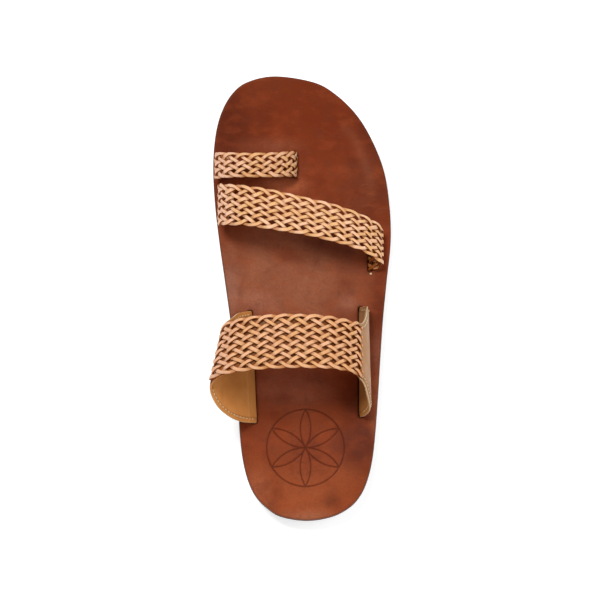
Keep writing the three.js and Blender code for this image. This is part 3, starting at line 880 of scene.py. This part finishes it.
def outsole_rings(loop):
    """Rings of the rubber's rounded side, from the tread up."""
    rings = []

    def add(out, height):
        ring = offset_loop(loop, out)
        rings.append(np.column_stack([ring, height(ring[:, 1])]))

    lower = OUTSOLE_RIM - OUTSOLE_DRAFT
    for angle in np.linspace(0, math.pi / 2, 7):
        rise = OUTSOLE_EDGE_RISE * (1 - math.cos(angle))
        add(lower - OUTSOLE_EDGE_TUCK * (1 - math.sin(angle)), lambda y: tread_at(y) + rise)
    for part in (0.25, 0.5, 0.75, 0.93):
        add(lower + OUTSOLE_DRAFT * part, lambda y: side_at(part, y))
    add(OUTSOLE_RIM, lambda y: sole_top(y) - RIM_ROUND)
    add(OUTSOLE_RIM - RIM_ROUND, sole_top)
    return rings


def outsole_piece():
    """Moulded rubber sole."""
    rings = outsole_rings(even_loop(SOLE_LINE, 1.2))
    around = len(rings[0])
    points = np.vstack(rings)
    faces = [face[::-1] for face in tube_faces(len(rings), around, 0, False)]

    def close(ring, spacing, height):
        """Fill one end of the rubber's side."""
        edge = rings[ring][:, :2]
        grid = hex_grid(edge.min(axis=0), edge.max(axis=0), spacing)
        grid = grid[inside(grid, edge)]
        grid = grid[nearest(grid, edge) > 0.8 * spacing]
        flat, triangles = fill_loops([edge], [grid])
        numbers = np.arange(len(flat))
        numbers = np.where(numbers < around, ring * around + numbers, len(points) + numbers - around)
        filling = np.column_stack([flat, height(flat)])[around:]
        return np.vstack([points, filling]), numbers[triangles]

    border = rings[0][:, :2]
    points, tread = close(0, 1.5, lambda flat: tread_height(flat, border))
    points, lid = close(len(rings) - 1, 6.0, lambda flat: sole_top(flat[:, 1]))
    faces += tread[:, ::-1].tolist() + lid.tolist()
    make_piece("outsole_rubber_sole", points, faces, RUBBER, ["outsole"], 40)


# Straps


# Half a strip's section, in half widths and half thicknesses: a flat face and slightly rounded edges
STRIP_FACE = np.array([(1, 0.55), (0.94, 0.88), (0.8, 1), (0, 1.05), (-0.8, 1), (-0.94, 0.88), (-1, 0.55)])
STRIP_SECTION = np.vstack([STRIP_FACE, -STRIP_FACE])


def column_pitch(strap, braid):
    """Distance between two columns of crossings."""
    return (strap.length - braid.first_inset - braid.last_inset) / braid.columns


def strip_course(braid, strand, column):
    """How one strip of a plait runs, at places counted in columns of crossings.

    The results are its place across, from -1 to 1, its height over (1) or under (-1) its neighbours, its
    half rows from the nearer border, and which border that is, the front (1) or the back (-1).
    """
    strands = braid.strands
    phase = column + 2 * strand
    from_front = np.abs((phase + strands) % (2 * strands) - strands)
    near_front = from_front < strands - from_front
    from_border = np.where(near_front, from_front, strands - from_front)
    border = np.where(near_front, 1.0, -1.0)
    keep = math.hypot(strands / 2, BRAID_TURN) - strands / 2

    def bow(half_rows):
        """Half rows from the border, drawn out so that the border runs nearly straight."""
        pull = BORDER_PULL * np.exp(-(((half_rows - 1) / BORDER_REACH) ** 2))
        return np.sqrt(half_rows**2 + BRAID_TURN**2) - keep - pull

    half_row = np.where(near_front, bow(from_border), strands - bow(from_border))
    spread = (half_row - strands / 2) / (strands / 2 - bow(0.0))

    rising = np.where(phase % (2 * strands) < strands, 1.0, -1.0)
    crossing = rising * np.cos(math.pi * column)
    rounds = phase / (2 * strands)
    turn_at = 2 * strands * np.where(near_front, np.round(rounds), np.floor(rounds) + 0.5)
    after_turn = border * np.cos(math.pi * (turn_at - 2 * strand - 1))
    turning = after_turn * np.sin(math.pi * (phase - turn_at) / 2)
    wave = np.tanh(CROSSING_SNAP * np.where(from_border < 1, turning, crossing)) / math.tanh(CROSSING_SNAP)
    return spread, wave, from_border, border


def strip_points(strap, run, across, height, wide, tilt, limit):
    """Rows of points round a strip's section along its course, pressed in past a limit from the middle."""
    flat = STRIP_SECTION[:, 0] * wide[:, None]
    thick = STRIP_SECTION[:, 1] * STRIP_THICKNESS / 2
    sine, cosine = np.sin(tilt)[:, None], np.cos(tilt)[:, None]
    sideways = flat * cosine - thick * sine
    up = thick * cosine + flat * sine
    step_run, step_across = np.gradient(run), np.gradient(across)
    step = np.hypot(step_run, step_across)
    place_run = run[:, None] - sideways * (step_across / step)[:, None]
    place = across[:, None] + sideways * (step_run / step)[:, None]
    past = np.clip(np.abs(place) - limit[:, None], 0, None)
    place -= np.sign(place) * past * BORDER_PRESS
    part = 0.5 + place / strap.width(run)[:, None]
    return strap.point(np.clip(place_run, 0.01, strap.length - 0.01), part, height[:, None] + up)


def braid_piece(
    name, node, strap, braid, over, lift=0.0, width=None, ends=(END_GAP, END_GAP), dive=0.0, splay=0.0,
    tucked=0.0,
):
    """A flat plait: each strip zigzags from edge to edge and goes over one and under one.

    It turns at the edges in a curve, after going over (1) or under (-1) its neighbour. Its ends can dive
    under the pieces beside them, splay towards their slots, or be ragged and tucked in at the last slot.
    """
    pitch = column_pitch(strap, braid)
    first = (ends[0] - braid.first_inset) / pitch
    last = (strap.length - ends[1] - braid.first_inset) / pitch
    column = np.linspace(first, last, int((last - first) * STEPS_PER_COLUMN))
    run = braid.first_inset + column * pitch
    whole = strap.width(run)
    half = (whole if width is None else np.minimum(whole, width)) / 2
    from_end = np.minimum(column - first, last - column)
    near_end = np.clip(1 - from_end / END_COLUMNS, 0, 1) ** 2
    grown = 1 + splay * near_end
    to_last = (last - column) * pitch
    ragged = tucked * np.clip(1 - to_last / RAGGED_LENGTH, 0, 1) ** 2

    # Painted shade that every strip has alike: on its edges, its underside, at a seam at its ends and on
    # its tucked end
    sides = np.clip((np.abs(STRIP_SECTION[:, 0]) - 0.76) / 0.18, 0, 1) ** 2
    below = STRIP_SECTION[:, 1] < -0.2
    seam = np.clip(1 - np.abs(from_end * pitch - SEAM_OVERLAP) / 0.9, 0, 1)[:, None] * (dive > 0)
    tuck = tucked * np.clip(1 - (to_last + STRAP_END) / 3, 0, 1)[:, None]

    shape = (len(column), len(STRIP_SECTION))
    points, faces = [], []
    attributes = {"tone": [], "along": [], "side": [], "low": []}
    for strand in range(braid.strands):
        spread, wave, from_border, border = strip_course(braid, strand, column)
        wave = over * wave
        jitter = rng.uniform(0, 6.28)
        stray = 0.18 * np.sin(run / 7.3 + jitter) + 0.14 * np.sin(run / 2.9 + 2.3 * jitter)
        across = spread * (half - BORDER_INSET) * grown + stray
        height = lift + STRIP_SWING * wave + 0.06 * np.sin(run / 5.1 + 2 * jitter) - dive * near_end
        height += ragged * (0.35 + 0.75 * math.sin(5 * jitter + 2 * strand))
        wide = STRIP_WIDTH / 2 * (0.92 + 0.09 * np.sin(run / 9 + 3 * jitter))
        tilt = 0.35 * border * np.exp(-((from_border / 0.7) ** 2))
        points.append(strip_points(strap, run, across, height, wide, tilt, half * grown))
        faces += tube_faces(*shape, strand * shape[0] * shape[1])
        # Painted shade where a strip dips under its neighbours, added to the shade above
        under = np.clip(0.5 - 0.5 * wave, 0, 1)[:, None] ** 3
        shade = 0.4 * under + 0.9 * sides + 0.35 * below + 0.8 * seam + tuck * (0.2 + 0.8 * np.sqrt(under))
        attributes["tone"].append(np.full(shape, rng.random()))
        attributes["along"].append(np.broadcast_to(run[:, None], shape))
        attributes["side"].append(np.broadcast_to(STRIP_SECTION[:, 0], shape))
        attributes["low"].append(np.clip(shade, 0, 1))
    make_piece(name, points, faces, BRAID_LEATHER, [node], 60, attributes)


# Mesh and edges of the plain bands
BAND_STEP = 0.9
BAND_POINTS = 44
BAND_ROUND = 0.25
SKIVE_WIDTH = 5.0
SKIVE_SHARE = 0.6


def band_section():
    """Places round a band's section: across it, past its edge, through it, and 1 on its edges."""
    side = np.linspace(0, 1, BAND_POINTS)
    side = side - 0.06 * np.sin(4 * math.pi * side)
    turn = np.linspace(math.pi / 2, -math.pi / 2, 7)[1:-1]
    flat, edge = np.zeros(len(side)), np.ones(len(turn))
    across = np.concatenate([side, edge, side[::-1], 0 * edge])
    bulge = np.concatenate([flat, np.cos(turn), flat, -np.cos(turn)])
    level = np.concatenate([flat + 1, np.sin(turn), flat - 1, -np.sin(turn)])
    is_edge = np.concatenate([flat, edge, flat, edge])
    return across, bulge, level, is_edge


def band_piece(name, node, material, levels, span, thin_side, covered=None, inset=0.0, crease=None):
    """A plain leather band of the instep strap, skived thin towards its edges on one side.

    Where the braid covers it, it is narrower and unpolished, and its face is painted in shade.
    """
    inner, outer = levels
    start, end = span
    runs = np.linspace(start, end, int((end - start) / BAND_STEP))[:, None]
    across, bulge, level, is_edge = band_section()
    shape = (len(runs), len(across))
    whole = INSTEP.width(runs)
    under = np.zeros(runs.shape)
    if covered is not None:
        under = np.clip(np.minimum(runs - covered[0], covered[1] - runs) / 3, 0, 1)
    from_edge = np.minimum(across, 1 - across) * whole
    thin = (outer - inner) * SKIVE_SHARE * np.clip(1 - from_edge / SKIVE_WIDTH, 0, 1) ** 2
    low = inner + (thin if thin_side < 0 else 0)
    high = outer - (thin if thin_side > 0 else 0)
    trim = BAND_ROUND + inset * under
    part = 0.5 + (across - 0.5) * (1 - 2 * trim / whole) + bulge * BAND_ROUND / whole
    ripple = 0.1 * np.sin(runs / 3.7 + 9 * across) * np.sin(across * 7 + 1)
    fold = np.zeros(runs.shape) if crease is None else np.exp(-(((runs - crease) / 0.7) ** 2))
    lift = (high + low) / 2 + level * (high - low) / 2 + ripple - 0.2 * fold
    points = INSTEP.point(np.broadcast_to(runs, shape), part, lift)
    faces = [face[::-1] for face in tube_faces(*shape)]
    attributes = {
        "edge": is_edge * (1 - under),
        "covered": (level > 0.9) * under,
        "crease": np.broadcast_to(fold, shape),
        "groove": np.exp(-(((from_edge - STITCH_INSET) / 0.6) ** 2)) * (1 - under),
    }
    make_piece(name, points, faces, material, [node], 60, attributes)


def stitch_row(name, span, lift, from_front):
    """A row of thread stitches along one edge of the instep strap, sunk a little into the leather."""
    turns = np.linspace(0, 2 * math.pi, 8, endpoint=False)
    parts = np.linspace(0, 1, 7)

    def seam(run, rise):
        share = STITCH_INSET / INSTEP.width(run)
        return INSTEP.point(run, share if from_front else 1 - share, rise)

    runs = np.linspace(*span, 400)
    steps = np.linalg.norm(np.diff(seam(runs, np.full(len(runs), lift)), axis=0), axis=1)
    walked = np.concatenate([[0], np.cumsum(steps)])
    rise = lift + np.sign(lift) * STITCH_THICK * (0.9 * np.sin(parts * math.pi) - 0.45)
    points, faces = [], []
    for at in np.arange(0.6, walked[-1] - STITCH_LENGTH, STITCH_LENGTH + STITCH_GAP):
        place = np.interp(at + parts * STITCH_LENGTH, walked, runs)
        centre = seam(place, rise)
        along = np.gradient(centre, axis=0)
        along /= np.linalg.norm(along, axis=1)[:, None]
        up = seam(place, rise + 1) - centre
        sideways = np.cross(along, up)
        round_up = np.sin(turns)[:, None] * up[:, None] * 0.8
        ring = centre[:, None] + (np.cos(turns)[:, None] * sideways[:, None] + round_up) * STITCH_THICK
        faces += tube_faces(len(parts), len(turns), len(points) * len(parts) * len(turns))
        points.append(ring)
    make_piece(name, points, faces, THREAD, (), 60)


def instep_strap():
    """The lined strap over the instep: its braid, its lining, two facings and their stitches."""
    tip = column_pitch(INSTEP, INSTEP_BRAID) / 2 + FITTING_GAP
    medial_seam = INSTEP_BRAID.first_inset - tip
    lateral_seam = INSTEP.length - INSTEP_BRAID.last_inset + tip
    braid_piece(
        "instep_strap_braid", "instep_braid", INSTEP, INSTEP_BRAID, 1,
        lift=FACING_INNER + STRIP_THICKNESS,
        width=INSTEP_BRAID_WIDTH,
        ends=(medial_seam - SEAM_OVERLAP, INSTEP.length - lateral_seam - SEAM_OVERLAP),
        dive=0.8,
    )
    band_piece(
        "instep_strap_lining", "instep_lining", LINING_LEATHER,
        levels=(-LINING_THICKNESS / 2, LINING_THICKNESS / 2),
        span=(END_GAP, INSTEP.length - END_GAP),
        thin_side=-1,
        covered=(medial_seam, lateral_seam),
        inset=0.8,
        crease=10.2,
    )
    facings = {"medial": (END_GAP, medial_seam), "lateral": (lateral_seam, INSTEP.length - END_GAP)}
    for wing, span in facings.items():
        band_piece(
            f"instep_wing_facing_{wing}", f"instep_facing_{wing}", FACING_LEATHER,
            levels=(FACING_INNER - FACING_SINK, FACING_OUTER),
            span=span,
            thin_side=1,
        )
    stitched = {
        "medial": (STITCH_SLOT, medial_seam - STITCH_SEAM),
        "lateral": (lateral_seam + STITCH_SEAM, INSTEP.length - STITCH_SLOT),
    }
    outer, inner = FACING_OUTER - STITCH_SINK, STITCH_SINK - LINING_THICKNESS / 2
    for wing, span in stitched.items():
        for edge, from_front in (("front", True), ("back", False)):
            stitch_row(f"stitches_{wing}_{edge}_outer", span, outer, from_front)
            stitch_row(f"stitches_{wing}_{edge}_inner", span, inner, from_front)


def thread_knot():
    """A small pale knot of thread on the footbed, at the lateral end of the forefoot strap."""
    x, y = KNOT_PLACE
    turns = np.linspace(0, 2 * math.pi, 10, endpoint=False)
    middle = footbed_at(y) + KNOT_RADIUS / 2
    rings = []
    for lean in np.linspace(0.1, math.pi / 2 + 0.6, 7):
        reach = KNOT_RADIUS * math.sin(lean)
        level = np.full(len(turns), middle + KNOT_RADIUS * math.cos(lean))
        rings.append(np.column_stack([x + reach * np.cos(turns), y + reach * np.sin(turns), level]))
    faces = [face[::-1] for face in tube_faces(len(rings), len(turns))]
    make_piece("forefoot_thread_knot", rings, faces, THREAD, (), 60)


insole_piece()
outsole_piece()
braid_piece("toe_loop_braid", "toe_loop", TOE_LOOP, TOE_BRAID, 1, splay=0.12, tucked=1.0)
braid_piece("forefoot_strap_braid", "forefoot_strap", FOREFOOT, FOREFOOT_BRAID, -1)
instep_strap()
thread_knot()


# Floor, light and camera

# Lights, in metres: place, aim, size, power
LIGHTS = {
    "key": ((-0.45, 0.55, 1.7), (0, 0, 0), 0.6, 26),
    "heel_side": ((0.5, -1.0, 1.5), (0, 0, 0), 0.9, 4),
    "fill": ((1.0, 0.1, 1.3), (0, 0, 0.02), 1.0, 9),
}

# The camera: degrees above the floor, metres away, metres of its picture's width at the sandal, its aim
CAMERA_ELEVATION = 81
CAMERA_DISTANCE = 2.0
FRAME_WIDTH = 0.3746
CAMERA_AIM = Vector(((SHIFT_X - 1.18) * MM, -0.002, 0.0155))


def make_floor():
    """A white table that glows a little, so that shadows on it stay faint."""
    mesh = bpy.data.meshes.new("floor")
    mesh.from_pydata([(-3, -3, 0), (3, -3, 0), (3, 3, 0), (-3, 3, 0)], [], [(0, 1, 2, 3)])
    n = Nodes("floor_paper")
    n.colour = (0.6, 0.6, 0.6, 1)
    n.set(n.shader, {"Emission Color": (1, 1, 1, 1), "Emission Strength": 0.62})
    mesh.materials.append(n.finish(0.9, None, 0.1))
    floor = add_object("floor", mesh)


def look_from(thing, place, aim):
    """Put a light or the camera in its place, turned to its aim."""
    thing.location = place
    thing.rotation_mode = "QUATERNION"
    thing.rotation_quaternion = (aim - place).to_track_quat("-Z", "Y")


make_floor()

for light_name, (place, aim, size, power) in LIGHTS.items():
    light = bpy.data.lights.new(light_name, "AREA")
    light.shape = "DISK"
    light.size = size
    light.energy = power
    look_from(add_object(light_name, light), Vector(place), Vector(aim))

data = bpy.data.cameras.new("camera")
data.sensor_width = 36
data.lens = data.sensor_width * CAMERA_DISTANCE / FRAME_WIDTH
camera = add_object("camera", data)
elevation = math.radians(CAMERA_ELEVATION)
back = Vector((0, -math.cos(elevation), math.sin(elevation)))
look_from(camera, CAMERA_AIM + back * CAMERA_DISTANCE, CAMERA_AIM)
bpy.context.scene.camera = camera

world = bpy.data.worlds.new("studio")
world.use_nodes = True
background = world.node_tree.nodes["Background"]
background.inputs["Color"].default_value = (1, 1, 1, 1)
background.inputs["Strength"].default_value = 0.36
bpy.context.scene.world = world
bpy.context.scene.view_settings.view_transform = "Standard"
